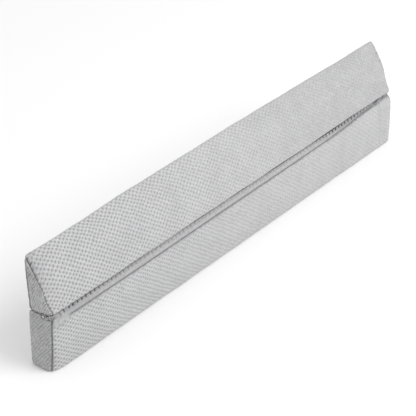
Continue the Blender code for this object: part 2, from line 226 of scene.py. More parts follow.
def outlineOf(corners):
    steps = rounding["steps"]
    spots = [Vector((corner[0], corner[1])) for corner in corners]
    count = len(corners)
    rounds = []
    for index, corner in enumerate(corners):
        here = spots[index]
        back = spots[index - 1] - here
        ahead = spots[(index + 1) % count] - here
        start = here + back.normalized() * min(corner[2], rounding["limit"] * back.length)
        end = here + ahead.normalized() * min(corner[2], rounding["limit"] * ahead.length)
        shares = [step / steps for step in range(steps + 1)]
        rounds.append([start.lerp(here, t).lerp(here.lerp(end, t), t) for t in shares])
    points = []
    for index, corner in enumerate(corners):
        start = rounds[index][-1]
        end = rounds[(index + 1) % count][0]
        along = (end - start).normalized()
        outward = Vector((-along.y, along.x))
        points += rounds[index]
        for step in range(1, steps):
            t = step / steps
            points.append(start.lerp(end, t) + outward * (4 * corner[3] * t * (1 - t)))
    return np.array([tuple(point) for point in points])


# The end seam narrows the outline front and back, and lifts it off the floor
liftFrom = 0.1


def drawnIn(points, front, back, share, lift=0.0):
    middle = 0.5 * pillow["bottomDepth"]
    draw = np.where(points[:, 0] > middle, front, back)
    raised = lift * max(0.0, share - liftFrom) / (1 - liftFrom)
    depth = middle + (points[:, 0] - middle) * (1 - share * draw / middle)
    height = points[:, 1] + raised * np.maximum(0.0, 1 - 2 * points[:, 1] / pillow["waist"])
    return np.stack([depth, height], axis=1)


# Even noise on a grid: seeded coarse values, smoothly enlarged
def unevenness(rows, columns, cellRows, cellColumns, seed):
    random = np.random.default_rng(seed)
    coarse = random.uniform(-1, 1, (int(rows / cellRows) + 4, int(columns / cellColumns) + 4))

    def enlarged(values, count, cell):
        place = np.arange(count) / cell + 1
        first = place.astype(int)
        share = (place - first)[:, None]
        before, here, after, beyond = (values[first + step] for step in (-1, 0, 1, 2))
        return 0.5 * (2 * here + (after - before) * share
                      + (2 * before - 5 * here + 4 * after - beyond) * share ** 2
                      + (3 * here - 3 * after + beyond - before) * share ** 3)

    return enlarged(enlarged(coarse, rows, cellRows).T, columns, cellColumns).T


# Places round an outline: the lengths up to its points, and rails as indices into its points
def closedRound(outline):
    return np.vstack([outline, outline[:1]])


def lengthsOf(points):
    return np.concatenate([[0], np.cumsum(np.linalg.norm(np.diff(points, axis=0), axis=1))])


def railsAt(outline, distances):
    lengths = lengthsOf(closedRound(outline))
    return np.interp(distances, lengths, np.arange(len(lengths)))


def sampled(outline, rails):
    closed = closedRound(outline)
    first = np.clip(np.floor(rails).astype(int), 0, len(outline) - 1)
    share = (rails - first)[:, None]
    return closed[first] * (1 - share) + closed[first + 1] * share


# How far an end stands out past its seam's plane, less where the waist tucks it in
ends = {"bowReach": 0.015, "bowAtWaist": 0.35, "bowFade": 0.02, "outReach": 0.095, "tuckReach": 0.004}


def endReach(sizes, depth, height):
    off = np.maximum(0.0, 1 - (2 * depth / pillow["bottomDepth"] - 1) ** 2)
    away = np.abs(height - pillow["waist"])
    top = sizes["topOut"] * rising(height, pillow["waist"], ends["outReach"])
    bow = sizes["bow"] * off * mixed(ends["bowAtWaist"], 1.0, smoothStep(away / ends["bowFade"]))
    return bow + top - sizes["tuck"] * np.exp(-away / ends["tuckReach"])


# Points (x, depth, height) of a long cover: one row for each x, one column for each rail
def surfaceOf(xs, rails, sizes):
    rows = []
    for x in xs:
        flat = sampled(sizes["sectionAt"](x), rails)
        share = math.copysign(math.exp((abs(x) - sizes["half"]) / ends["bowReach"]), x)
        push = share * endReach(sizes, flat[:, 0], flat[:, 1])
        rows.append(np.stack([x + push, flat[:, 0], flat[:, 1]], axis=1))
    return np.array(rows)


# Outward direction in the plane of each section
def outwardOf(points):
    along = np.roll(points, -1, axis=1) - np.roll(points, 1, axis=1)
    out = np.stack([np.zeros(along.shape[:2]), -along[:, :, 2], along[:, :, 1]], axis=2)
    return out / np.maximum(np.linalg.norm(out, axis=2, keepdims=True), 1e-9)


def toPlace(points):  # from (x, depth, height) to the pillow's frame
    return np.stack([points[..., 0], pillow["backPlane"] - points[..., 1], points[..., 2]], axis=-1)


def meshFrom(bm, name):
    mesh = bpy.data.meshes.new(name)
    bm.to_mesh(mesh)
    bm.free()
    return mesh


# A grid bent into a tube: rows of points[x, rail], closed round the rails and at both ends
seamJoin = 0.000001


def tubeMesh(name, points, alongX, alongRail, capEnds=True, marks=None):
    count, around = points.shape[:2]
    width = around + 1
    bm = bmesh.new()
    bmesh.ops.create_grid(bm, x_segments=around, y_segments=count - 1, size=0.5)
    ringed = np.concatenate([points, points[:, :1]], axis=1)
    for vert, place in zip(bm.verts, toPlace(ringed).reshape(-1, 3)):
        vert.co = place
    mesh = meshFrom(bm, name)
    corner = np.empty(len(mesh.loops), dtype=np.int32)
    mesh.loops.foreach_get("vertex_index", corner)
    coords = np.stack([alongX[corner // width], alongRail[corner % width]], axis=1)
    mesh.uv_layers.new(name="knit").data.foreach_set("uv", coords.astype(np.float32).ravel())
    for key, values in (marks or {}).items():
        whole = np.concatenate([values, values[:, :1]], axis=1)
        field = mesh.attributes.new(key, "FLOAT", "POINT")
        field.data.foreach_set("value", whole.astype(np.float32).ravel())
    bm = bmesh.new()
    bm.from_mesh(mesh)
    bm.verts.ensure_lookup_table()
    seam = [bm.verts[row * width + side] for row in range(count) for side in (0, around)]
    bmesh.ops.remove_doubles(bm, verts=seam, dist=seamJoin)
    if capEnds:
        rim = [edge for edge in bm.edges if edge.is_boundary]
        bmesh.ops.holes_fill(bm, edges=rim, sides=0)
    bmesh.ops.recalc_face_normals(bm, faces=bm.faces)
    bm.to_mesh(mesh)
    bm.free()
    return mesh


def addObject(name, data):
    made = bpy.data.objects.new(name, data)
    bpy.context.scene.collection.objects.link(made)
    return made


def addPiece(name, mesh, finish, nodes=()):
    mesh.shade_smooth()
    made = addObject(name, mesh)
    made.data.materials.append(finish.material)
    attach(made, "root")
    if nodes:
        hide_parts(*nodes)
    return made


# Cover of the wedge
wedge = {
    "half": 0.4955, "ridge": 0.2143, "brow": 0.176, "tip": 0.1135, "heel": 0.1068, "lean": 0.0032,
    "ridgeWidth": 0.0065, "browDepth": 0.0285, "tipDepth": 0.0525, "bowDown": 0.0058, "browFall": 0.42,
    "cornerDrop": 0.007, "tipDraw": 0.0035, "front": 0.002, "back": 0.0003, "flatter": 0.6,
    "bow": 0.0, "tuck": 0.0003, "topOut": 0.0025, "narrow": 0.0035, "browBack": 0.003, "browDown": 0.009,
    "slackLeft": 1.0, "slackRight": 0.5, "slackReach": 0.025, "hollow": 0.0033, "fill": 0.9, "swell": 0.0016,
    "heelRound": 0.003, "backRound": 0.004, "ridgeRound": 0.005, "browRound": 0.015, "tipRound": 0.0035,
    "backPuff": 0.001, "ridgePuff": 0.0012, "slopePuff": 0.001, "pit": 0.0004, "knotHeight": 0.114,
    "seamWide": 0.0011, "seamDeep": 0.001, "seamDark": 1.35, "knitFrom": (0.0035, 0.003),
    "knitTo": (0.017, 0.0035),
}


def wedgeSection(x):
    fromEnd = max(0.0, wedge["half"] - abs(x))
    pull = math.exp(-fromEnd / pillow["drawReach"])
    rest = max(0.0, wedge["cornerDrop"] - fromEnd)
    fall = wedge["bowDown"] * (x / wedge["half"]) ** 2
    fall += wedge["cornerDrop"] - math.sqrt(wedge["cornerDrop"] ** 2 - rest ** 2)
    slack = wedge["slackLeft"] if x < 0 else wedge["slackRight"]
    slack *= math.exp(-fromEnd / wedge["slackReach"])
    ridge = wedge["ridge"] - fall + ripple(x, 0.4)
    ridgeDepth = wedge["ridgeWidth"] - wedge["lean"] - wedge["narrow"] * slack
    brow = wedge["brow"] - wedge["browFall"] * fall - wedge["browDown"] * slack
    browDepth = wedge["browDepth"] + ripple(x, 1.7) - wedge["browBack"] * slack
    tipDepth = wedge["tipDepth"] - (wedge["tipDraw"] * pull if x > 0 else 0)
    plane = pillow["waist"] + pillow["gap"]
    full = 1 - wedge["flatter"] * pull
    corners = [
        (pillow["neckBack"], plane, pillow["neckBackRound"], 0),
        (pillow["backBow"], wedge["heel"], wedge["heelRound"], wedge["backPuff"] * full),
        (-wedge["lean"], ridge, wedge["backRound"], 0),
        (ridgeDepth, ridge, wedge["ridgeRound"], wedge["ridgePuff"] * full),
        (browDepth, brow, wedge["browRound"], wedge["slopePuff"] * full - wedge["hollow"] * slack),
        (tipDepth, wedge["tip"] + alongLine("edgeRise", x), wedge["tipRound"], 0),
        (pillow["neckFront"], plane, pillow["neckFrontRound"], 0),
    ]
    return drawnIn(outlineOf(corners), wedge["front"], wedge["back"], pull)


# Cover of the block, with the zip's recess in its front shoulder
block = {
    "half": 0.4985, "shoulder": 0.101, "frontDepth": 0.053, "belly": 0.0012, "front": 0.0024,
    "back": 0.0006, "bow": 0.0034, "tuck": 0.0012, "topOut": 0.0, "lift": 0.0006, "fill": 0.9,
    "swell": 0.0014, "footDraw": 0.005, "footReach": 0.008, "fold": 0.004, "heelRound": 0.0055,
    "backRound": 0.004, "crestRound": 0.001, "shelfRound": 0.0003, "footRound": 0.0035, "pit": 0.0002,
    "knotHeight": 0.099, "seamWide": 0.0014, "seamDeep": 0.0017, "seamDark": 1.6, "neckRows": 14,
    "recessRows": 34, "knitBack": (0.0015, 0.003), "knitFront": (-0.0024, 0.0028),
    "leftShoulder": ((0.0482, 0.109, 0.002), (0.0511, 0.1052, 0.0035), (0.0528, 0.094, 0.006)),
    "rightShoulder": ((0.044, 0.1018, 0.004), (0.05, 0.0965, 0.004), (0.053, 0.0875, 0.006)),
}


def zipShare(x):  # 1 where the zip's recess is in the shoulder, 0 past its ends
    left = rising(x, zipper["fadeFrom"], zipper["fadeTo"] - zipper["fadeFrom"])
    return left * rising(zipper["recessRight"] + zipper["fadeRight"], x, zipper["fadeRight"])


def stripEdge(x):
    return alongLine("zipHeight", x) + 0.5 * alongLine("lipGap", x)


def stripTop(x):
    return zipper["stripTop"] + max(0.0, alongLine("edgeRise", x))


def lipHeight(x):
    return min(stripEdge(x) - alongLine("lipGap", x), zipper["lipLimit"])


def stripDepth(height, inwards=0.0):
    outer = zipper["stripDepth"] - zipper["lean"] * (height - zipper["lip"] - zipper["edgeUp"])
    return outer - inwards * math.hypot(1, zipper["lean"])


def blockSection(x):
    fromEnd = max(0.0, block["half"] - abs(x))
    pull = math.exp(-fromEnd / pillow["drawReach"])
    share = zipShare(x)
    lip = lipHeight(x)
    shelf = lip + zipper["shelf"]
    crest = min(max(zipper["crest"], stripEdge(x) + 2 * pillow["gap"]), zipper["crestLimit"])
    behind = zipper["stripThick"] + pillow["gap"]
    lipDepth = block["frontDepth"] - zipper["lean"] * (lip - zipper["lip"])
    zipped = (
        (stripDepth(crest, behind), crest, block["crestRound"]),
        (stripDepth(shelf, behind), shelf, block["shelfRound"]),
        (lipDepth, lip, block["fold"]),
    )
    plain = block["leftShoulder"] if x < 0 else block["rightShoulder"]
    front = [tuple(mixed(a, b, share) for a, b in zip(one, other)) for one, other in zip(plain, zipped)]
    puffs = (0, 0, block["belly"] + ripple(x, 2.9))
    foot = block["footDraw"] * math.exp(-fromEnd / block["footReach"]) if x < 0 else 0
    corners = [
        (0, 0, block["heelRound"], 0),
        (pillow["backBow"], block["shoulder"], block["backRound"], 0),
        (pillow["neckBack"], pillow["waist"], pillow["neckBackRound"], 0),
        (pillow["neckFront"], pillow["waist"], pillow["neckFrontRound"], 0),
        *((*corner, puff) for corner, puff in zip(front, puffs)),
        (pillow["bottomDepth"] - foot, 0, block["footRound"], 0),
    ]
    return drawnIn(outlineOf(corners), block["front"], block["back"], pull, block["lift"])


# Gathers where the strip is sewn under the wedge: (place along X, strength, width)
gather = {
    "pitch": 0.0106, "first": -0.4895, "jitter": 0.0009, "width": 0.0026, "reach": 0.009,
    "strengths": (0.85, 1.0), "widths": (0.85, 1.2), "seed": 5,
}


def gathersOf():
    random = np.random.default_rng(gather["seed"])
    found = []
    for index in range(int((zipper["right"] - gather["first"]) / gather["pitch"])):
        x = gather["first"] + index * gather["pitch"] + random.uniform(-1, 1) * gather["jitter"]
        strength = alongLine("gathers", x) * random.uniform(*gather["strengths"])
        found.append((x, strength, random.uniform(*gather["widths"])))
    return found


gathers = gathersOf()


def gatherAt(x):
    return min(1.0, sum(strength * math.exp(-((x - middle) / (gather["width"] * wide)) ** 2)
                        for middle, strength, wide in gathers if abs(x - middle) < gather["reach"]))


# Regular columns on the dimple lattice, then closer ones into the end seam
endColumns = (0.0034, 0.0024, 0.0016, 0.001, 0.0005, 0.0)
columnsStop = 0.0046


def columnsOf(half):
    step = knit["pitchX"] / knit["cells"]
    last = int((half - columnsStop) / step)
    inner = [index * step for index in range(-last, last + 1)]
    closer = [half - away for away in endColumns]
    return np.array([-x for x in reversed(closer)] + inner + closer)


# Cloth pressure on a coarse copy of a cover, held along the seams; returns the movement
pressing = {
    "columns": 140, "endGap": 0.004, "rails": 46, "held": 0.4, "cap": 0.004, "frames": 20, "smoothing": 3,
}
clothSettings = {
    "quality": 6, "mass": 0.3, "tension_stiffness": 25, "compression_stiffness": 25, "bending_stiffness": 2.0,
    "use_pressure": True, "uniform_pressure_force": 4.0, "vertex_group_mass": "seams",
}


def pressedOut(name, points, held):
    count, around = points.shape[:2]
    numbers = np.arange(count * around).reshape(count, around)
    mesh = tubeMesh(name, points, np.zeros(count), np.zeros(around + 1), False, {"number": numbers})
    coarse = addObject(name, mesh)
    order = np.empty(len(mesh.vertices))
    mesh.attributes["number"].data.foreach_get("value", order)
    order = order.round().astype(int)
    start = np.empty(len(mesh.vertices) * 3)
    mesh.vertices.foreach_get("co", start)
    pins = coarse.vertex_groups.new(name="seams")
    pins.add(np.nonzero(held.reshape(-1)[order])[0].tolist(), 1.0, "REPLACE")
    cloth = coarse.modifiers.new("filling", "CLOTH")
    for key, setting in clothSettings.items():
        setattr(cloth.settings, key, setting)
    cloth.settings.effector_weights.gravity = 0
    cloth.collision_settings.use_collision = False
    for step in range(pressing["frames"]):
        bpy.context.scene.frame_set(step + 1)
    swollen = coarse.evaluated_get(bpy.context.evaluated_depsgraph_get())
    end = np.empty(len(start))
    swollen.data.vertices.foreach_get("co", end)
    moved = (end - start).reshape(-1, 3)
    length = np.linalg.norm(moved, axis=1, keepdims=True)
    moved *= np.minimum(1.0, pressing["cap"] / np.maximum(length, 1e-9))
    bpy.context.scene.frame_set(1)
    bpy.data.objects.remove(coarse, do_unlink=True)
    field = np.zeros((count * around, 3))
    field[order] = moved
    print(name, "moved", round(float(length.mean()) * 1000, 2), "mm on average")
    return field.reshape(count, around, 3)


def enlargedField(field, xsFrom, railsFrom, xsTo, railsTo):
    closed = np.concatenate([field, field[:, :1]], axis=1)
    railsFrom = np.append(railsFrom, railsFrom[-1] + (railsFrom[-1] - railsFrom[-2]))
    wide = np.apply_along_axis(lambda values: np.interp(xsTo, xsFrom, values), 0, closed)
    full = np.apply_along_axis(lambda values: np.interp(railsTo, railsFrom, values), 1, wide)
    for _ in range(pressing["smoothing"]):
        full[1:-1] = 0.25 * full[:-2] + 0.5 * full[1:-1] + 0.25 * full[2:]
        full = 0.25 * np.roll(full, 1, axis=1) + 0.5 * full + 0.25 * np.roll(full, -1, axis=1)
    return full


def pressedField(name, sizes, xs, distances, quiet, length):
    half = sizes["half"]
    inner = half - pressing["endGap"]
    coarseXs = np.concatenate([[-half], np.linspace(-inner, inner, pressing["columns"]), [half]])
    coarseAlong = np.linspace(0, length, pressing["rails"] + 1)[:-1]
    coarse = surfaceOf(coarseXs, railsAt(sizes["sectionAt"](0.0), coarseAlong), sizes)
    held = np.zeros(coarse.shape[:2], dtype=bool)
    held[0] = held[-1] = True
    held[:, np.interp(coarseAlong, distances, quiet) < pressing["held"]] = True
    fine = enlargedField(pressedOut(name + "_press", coarse, held), coarseXs, coarseAlong, xs, distances)
    fine[..., 1] *= -1  # depth runs against Y
    return fine


# Depth of the staggered dimples on the lattice, from 0 on the bumps between them to 1
def dimpleField(xs, weave):
    across = weave[None, :] / knit["pitchY"]
    along = xs[:, None] / knit["pitchX"]

    def near(value):
        return value - np.round(value)

    def away(a, b):
        wide = near(a) * knit["pitchX"] / knit["halfWide"]
        return np.hypot(wide, near(b) * knit["pitchY"] / knit["halfTall"])

    pit = 1 - rising(np.minimum(away(along, across), away(along + 0.5, across + 0.5)), 0.2, 1.4)
    soft = 0.5 + 0.5 * np.cos(2 * np.pi * along) * np.cos(2 * np.pi * across)
    return 0.6 * pit + 0.4 * soft


# Relief of a cover: bumps are (height, mesh cells along X, mesh cells round the cover)
relief = {
    "lump": (0.0005, 22, 26), "smallLump": (0.00022, 8, 9), "pucker": (0.00045, 9, 4.5),
    "wander": (0.0008, 7, 7), "uneven": (0.3, 9, 9), "puckerReach": 0.009, "puckerFade": 0.002,
    "free": (0.001, 0.006), "shallow": 0.4, "shallowFrom": (-0.4, 0.6), "seamRoll": 0.0011,
    "waistTall": 0.003,
}

# Marks of a cover for its finish: knotted thread, seam, and strained knit, whose tucks are painted with shade
marking = {
    "knotTall": 0.0022, "knotWide": 0.003, "knotDepth": 0.044, "seamAtWaist": 0.8, "strain": 0.35,
    "strainReach": 0.007, "topStrain": 0.65, "top": (0.165, 0.02), "waistStrain": 0.5, "waistReach": 0.012,
}


def waistShare(height):  # 1 on the waist's line, 0 away from it
    return smoothStep(1.3 - np.abs(height - pillow["waist"]) / relief["waistTall"])


def coverOf(name, sizes, rows, finish, node, seed):
    xs = columnsOf(sizes["half"])
    distances, weave, quiet, length = rows
    points = surfaceOf(xs, railsAt(sizes["sectionAt"](0.0), distances), sizes)
    count, around = points.shape[:2]
    away = sizes["half"] - np.abs(xs)[:, None]
    free = rising(away, *relief["free"]) * quiet[None, :]

    def bumps(kind, turn):
        height, cellRows, cellColumns = relief[kind]
        return height * unevenness(count, around, cellRows, cellColumns, seed + turn)

    moved = pressedField(name, sizes, xs, distances, quiet, length)
    points = points + moved * (free * sizes["swell"] / pressing["cap"])[..., None]
    out = outwardOf(points)
    tangent = np.stack([np.zeros(out.shape[:2]), out[..., 2], -out[..., 1]], axis=2)
    lumps = bumps("lump", 0) + bumps("smallLump", 1)
    puckers = bumps("pucker", 2) * np.exp(-away / relief["puckerReach"])
    dimples = knit["dimple"] * dimpleField(xs, weave) * (0.85 + bumps("uneven", 5))
    dimples *= 1 - relief["shallow"] * rising(xs[:, None], *relief["shallowFrom"])
    pits = sizes["pitAt"](points) * columnOf(gatherAt, xs)
    outwards = free * (lumps - dimples) + puckers * quiet[None, :] * smoothStep(away / relief["puckerFade"])
    outwards -= pits * sizes["pit"] + sizes["seamDeep"] * np.exp(-(away / relief["seamRoll"]) ** 1.5)
    points = points + out * outwards[..., None] + tangent * (bumps("wander", 4) * free)[..., None]
    points[..., 0] += bumps("wander", 3) * free
    points[..., 2] = np.maximum(points[..., 2], 0.0)

    height = points[..., 2]
    strain = marking["strain"] + marking["topStrain"] * rising(height, *marking["top"])
    strain += marking["waistStrain"] * np.exp(-((height - pillow["waist"]) / marking["waistReach"]) ** 2)
    upDown = (height - sizes["knotHeight"]) / marking["knotTall"]
    knot = np.exp(-upDown ** 2 - (away / marking["knotWide"]) ** 2)
    knot = knot * (points[..., 1] > marking["knotDepth"])
    seam = np.exp(-(away / sizes["seamWide"]) ** 2) * (1 - marking["seamAtWaist"] * waistShare(height))
    # pit and soft hold painted shade for the finish; end holds the knit's strain, whose tucks get painted
    # shade
    marks = {
        "seam": sizes["seamDark"] * (seam + knot),
        "end": np.exp(-away / marking["strainReach"]) * np.minimum(1.0, strain),
        "pit": pits,
        "plain": (1 - quiet[None, :]) * np.ones((count, around)),
        "soft": sizes["softAt"](points, away),
    }
    mesh = tubeMesh(name, points, xs, np.append(weave, weave[-1] + 0.001), marks=marks)
    made = addPiece(name, mesh, finish, [node])
    print(name, "faces:", len(mesh.polygons))


# Finish of the dimpled wrap; noises are (scale per metre, detail) for speck, blotch, grain, cloudy, softly
def wrapFinish():
    look = {
        "ground": grey(0.492, 0.006), "shade": grey(0.386, 0.006), "dimple": grey(0.226, 0.005),
        "bright": grey(0.65, 0.007), "seam": grey(0.085, 0.003), "pit": grey(0.03, 0.001),
        "noises": ((400.0, 1.0), (260.0, 2.0), (900.0, 1.0), (26.0, 3.0), (130.0, 2.0)),
        "loops": 760.0, "strayX": 150.0, "strayY": 175.0, "tucks": 190.0,
        "tuckTurn": 0.35, "tuckScale": (0.35, 1.6, 1.0), "stray": (-0.4, 0.15, 0.0022, 0.0058),
        "fade": (-0.55, 0.36, 1.0, 0.36), "plain": 0.85, "bump": (0.0006, 0.7),
    }
    made = Finish("knit_wrap", 0.85, sheen=0.2)
    coords = made.weave()
    local = made.local()  # for the noises, which the weave's stretch leaves alone
    along = made.node("ShaderNodeSeparateXYZ", None, {0: coords})
    mark = {key: made.mark(key) for key in ("seam", "end", "pit", "plain", "soft")}
    stray = along[0].ramp(*look["stray"])  # the rows run less even towards the slider's end
    fade = along[0].ramp(*look["fade"])  # and the knit is stretched flatter there
    u = (along[0] + (made.noise(coords, look["strayX"], 1.0) - 0.5) * stray) / knit["pitchX"]
    v = (along[1] + (made.noise(coords, look["strayY"], 1.0) - 0.5) * stray) / knit["pitchY"]

    def awayFrom(a, b):
        across = a.toNearest() * (knit["pitchX"] / knit["halfWide"])
        up = b.toNearest() * (knit["pitchY"] / knit["halfTall"])
        return across * across + up * up

    away = awayFrom(u, v).maths("MINIMUM", awayFrom(u + 0.5, v + 0.5)).maths("SQRT")
    crest = awayFrom(u + 0.5, v).maths("MINIMUM", awayFrom(u, v + 0.5)).maths("SQRT")
    speck, blotch, grain, cloudy, softly = (made.noise(local, *pair) for pair in look["noises"])
    loops = made.loops(local, look["loops"])
    tucks = made.noise(made.mapped(coords, look["tuckTurn"], look["tuckScale"]), look["tucks"])
    # Tucks near the end seams: painted shade in the strained knit's creases, with a bump
    tuck = tucks.ramp(0.5, 0.66) * mark["end"]
    shown = fade * (1 - mark["plain"] * look["plain"])
    # Dimples: the knit's dotted pattern, painted darker as shade in its pits
    hole = (away + (blotch - 0.5) * 0.9).ramp(0.25, 1.3, 1.0, 0.0) * shown
    # Painted highlight on the knit's crests between the dimples
    bright = crest.ramp(0.2, 1.1, 0.75, 0.0) * grain.ramp(0.3, 0.6) * shown
    shade = (cloudy - 0.35) * 1.1 + loops * 0.45 + (speck - 0.5) * 2.1
    # The soft mark lays painted shade into the knit, and the pit mark painted shade in the gather pits
    made.layers(
        look, ("shade", shade), ("bright", bright), ("dimple", hole * (0.55 + blotch * 0.7)),
        ("dimple", softly.ramp(0.25, 0.6) * mark["soft"]), ("seam", tuck.ramp(0.0, 0.6) * 0.75),
        ("seam", mark["seam"].ramp(0.1, 1.6) * (blotch * 1.65)),
        ("pit", mark["pit"].ramp(0.15, 0.75) * 0.9))
    height = hole * -0.55 - loops * 0.35 + blotch * 0.4 + grain * 0.15 - tuck * 1.2
    made.bump(height, *look["bump"])
    return made


# Stage: camera at the photo's angle, studio light and a pale floor
stage = {
    "lens": 150.52, "sensor": 36, "place": (-2.1528, -1.634, 1.6966), "turn": (58.931, 0.0, -52.0055),
    "world": 0.84, "lamp": (0.6, -2.3, 2.7), "aim": (0, 0, 0.1), "lampSize": 2.4, "lampPower": 62,
    "floor": 7.0, "floorColor": grey(0.93),
}


def setStage():
    scene = bpy.context.scene
    cameraData = bpy.data.cameras.new("camera")
    cameraData.lens = stage["lens"]
    cameraData.sensor_width = stage["sensor"]
    camera = addObject("camera", cameraData)
    camera.location = stage["place"]
    camera.rotation_euler = [math.radians(angle) for angle in stage["turn"]]
    scene.camera = camera
    scene.world = scene.world or bpy.data.worlds.new("studio")
    scene.world.use_nodes = True
    background = scene.world.node_tree.nodes["Background"]
    background.inputs["Color"].default_value = (1, 1, 1, 1)
    background.inputs["Strength"].default_value = stage["world"]
    scene.view_settings.view_transform = "Standard"
    lampData = bpy.data.lights.new("key", "AREA")
    lampData.shape = "DISK"
    lampData.size = stage["lampSize"]
    lampData.energy = stage["lampPower"]
    lamp = addObject("key", lampData)
    lamp.location = stage["lamp"]
    lamp.rotation_euler = (Vector(stage["aim"]) - lamp.location).to_track_quat("-Z", "Y").to_euler()
    bm = bmesh.new()
    bmesh.ops.create_grid(bm, x_segments=8, y_segments=8, size=stage["floor"])
    floor = addObject("floor", meshFrom(bm, "floor"))
    pale = Finish("pale_floor", 0.9)
    pale.shader.inputs["Base Color"].default_value = stage["floorColor"]
    floor.data.materials.append(pale.material)


setStage()
print("stage set")


# Rows round a cover: distance along its outline, place in the weave, and how freely the knit shows
def wedgeRows():
    length = lengthsOf(closedRound(wedgeSection(0.0)))[-1]
    step = knit["pitchY"] / knit["cells"]
    distances = np.arange(int(length / step) + 1) * step
    before, over = wedge["knitTo"]
    quiet = rising(distances, *wedge["knitFrom"]) * rising(length - before, distances, over)
    return distances, distances, quiet, length


# The block's rows lie close over the zip's recess and wide over the waist
def blockRows():
    along = lengthsOf(closedRound(blockSection(0.0)))
    length = along[-1]
    crestAt = 4 * perCorner - 4
    frontAt = 6 * perCorner + rounding["steps"]
    shoulder, crest, front = along[perCorner], along[crestAt], along[frontAt]
    step = knit["pitchY"] / knit["cells"]
    back = np.arange(int(shoulder / step) + 1) * step
    neck = np.linspace(back[-1], crest, block["neckRows"])[1:-1]
    closer = np.interp(np.linspace(crestAt, frontAt, block["recessRows"])[:-1], np.arange(len(along)), along)
    low = np.arange(front, length - 0.3 * step, step)
    distances = np.concatenate([back, neck, closer, low])
    whole = round(front / knit["pitchY"]) * knit["pitchY"]
    weave = np.interp(distances, [0, back[-1], front, length], [0, back[-1], whole, whole + length - front])
    past, over = block["knitBack"]
    quietBack = rising(shoulder + past, distances, over)
    quietFront = rising(distances - front, *block["knitFront"])
    quiet = np.where(distances < 0.5 * (shoulder + crest), quietBack, quietFront)
    return distances, weave, quiet, length


# Where the wedge is pitted and shaded: pairs are (start, over what length), or (top, rise) under the edge
wedgeMarks = {
    "front": (0.0455, 0.003), "risen": (0.24, 0.07), "tall": 0.0024, "pits": (0.1138, 0.0022),
    "shades": (0.1148, 0.0016), "corner": 0.55, "cornerReach": 0.008, "cornerFrom": (0.135, 0.03),
    "far": 0.2, "farFrom": (-0.05, 0.4),
}


def underEdge(points, top, rise):  # 1 on the front under the wedge's edge, whose height changes along X
    xs = points[:, 0, 0]
    gained = columnAlong("edgeRise", xs) + rise * rising(xs[:, None], *wedgeMarks["risen"])
    under = rising(top + gained, points[..., 2], wedgeMarks["tall"])
    return rising(points[..., 1], *wedgeMarks["front"]) * under


# Each dent is also painted dark in the finish, as shade in the gap
def wedgePits(points):  # the wedge's front edge gives a little at each gather
    return underEdge(points, *wedgeMarks["pits"])


# Painted shade laid into the knit's colour: darker in the pulled corners, at the far end and under the
# wedge's edge
def wedgePaintedShade(points, away):  # the knit's shade in the pulled corners, at the far end and under the edge
    corner = wedgeMarks["corner"] * np.exp(-away / wedgeMarks["cornerReach"])
    corner = corner * rising(points[..., 2], *wedgeMarks["cornerFrom"])
    far = wedgeMarks["far"] * rising(points[..., 0], *wedgeMarks["farFrom"])
    under = columnAlong("edgeShade", points[:, 0, 0]) * underEdge(points, *wedgeMarks["shades"])
    return np.maximum(np.maximum(corner, far), under)


# Where the block is pitted and shaded
blockMarks = {
    "pit": 1.9, "pitHigh": (0.101, 0.0026), "pitFront": (0.044, 0.002), "pitEnd": 0.002, "pitFade": 0.005,
    "start": -0.478, "startReach": 0.016, "startShade": 0.62, "startHigh": (0.076, 0.018),
    "foldTall": 0.0026, "front": (0.044, 0.003), "endShade": 1.2, "end": (0.438, 0.008),
    "endHigh": (0.0985, 0.0035), "endFront": (0.038, 0.003),
}


# These dents are also painted dark in the finish, as shade in the gap
def blockPits(points):  # past the strip's left end the gathers go on in the block's shoulder
    high = rising(points[..., 2], *blockMarks["pitHigh"]) * rising(points[..., 1], *blockMarks["pitFront"])
    last = zipper["fadeTo"] - blockMarks["pitEnd"]
    return blockMarks["pit"] * high * rising(last, points[..., 0], blockMarks["pitFade"])


# Painted shade laid into the knit's colour: by the strip's start, on the zip's lip and past the slider
def blockPaintedShade(points, away):  # shade by the strip's start, on the zip's lip and past the slider
    xs = points[:, 0, 0]
    x, depth, height = (points[..., axis] for axis in range(3))
    start = np.exp(-np.maximum(0.0, x - blockMarks["start"]) / blockMarks["startReach"])
    start = blockMarks["startShade"] * (start * rising(height, *blockMarks["startHigh"]))
    off = (height - columnOf(lipHeight, xs)) / blockMarks["foldTall"]
    fold = columnAlong("lipShade", xs) * columnOf(zipShare, xs) * np.exp(-off ** 2)
    end = rising(x, *blockMarks["end"]) * rising(height, *blockMarks["endHigh"])
    end = blockMarks["endShade"] * end * rising(depth, *blockMarks["endFront"])
    return np.maximum(np.maximum(start, fold) * rising(depth, *blockMarks["front"]), end)


wedge.update(sectionAt=wedgeSection, pitAt=wedgePits, softAt=wedgePaintedShade)
block.update(sectionAt=blockSection, pitAt=blockPits, softAt=blockPaintedShade)
wrap = wrapFinish()
coverOf("wedge_cover", wedge, wedgeRows(), wrap, "wedge_cushion", 11)
coverOf("block_cover", block, blockRows(), wrap, "block_cushion", 31)


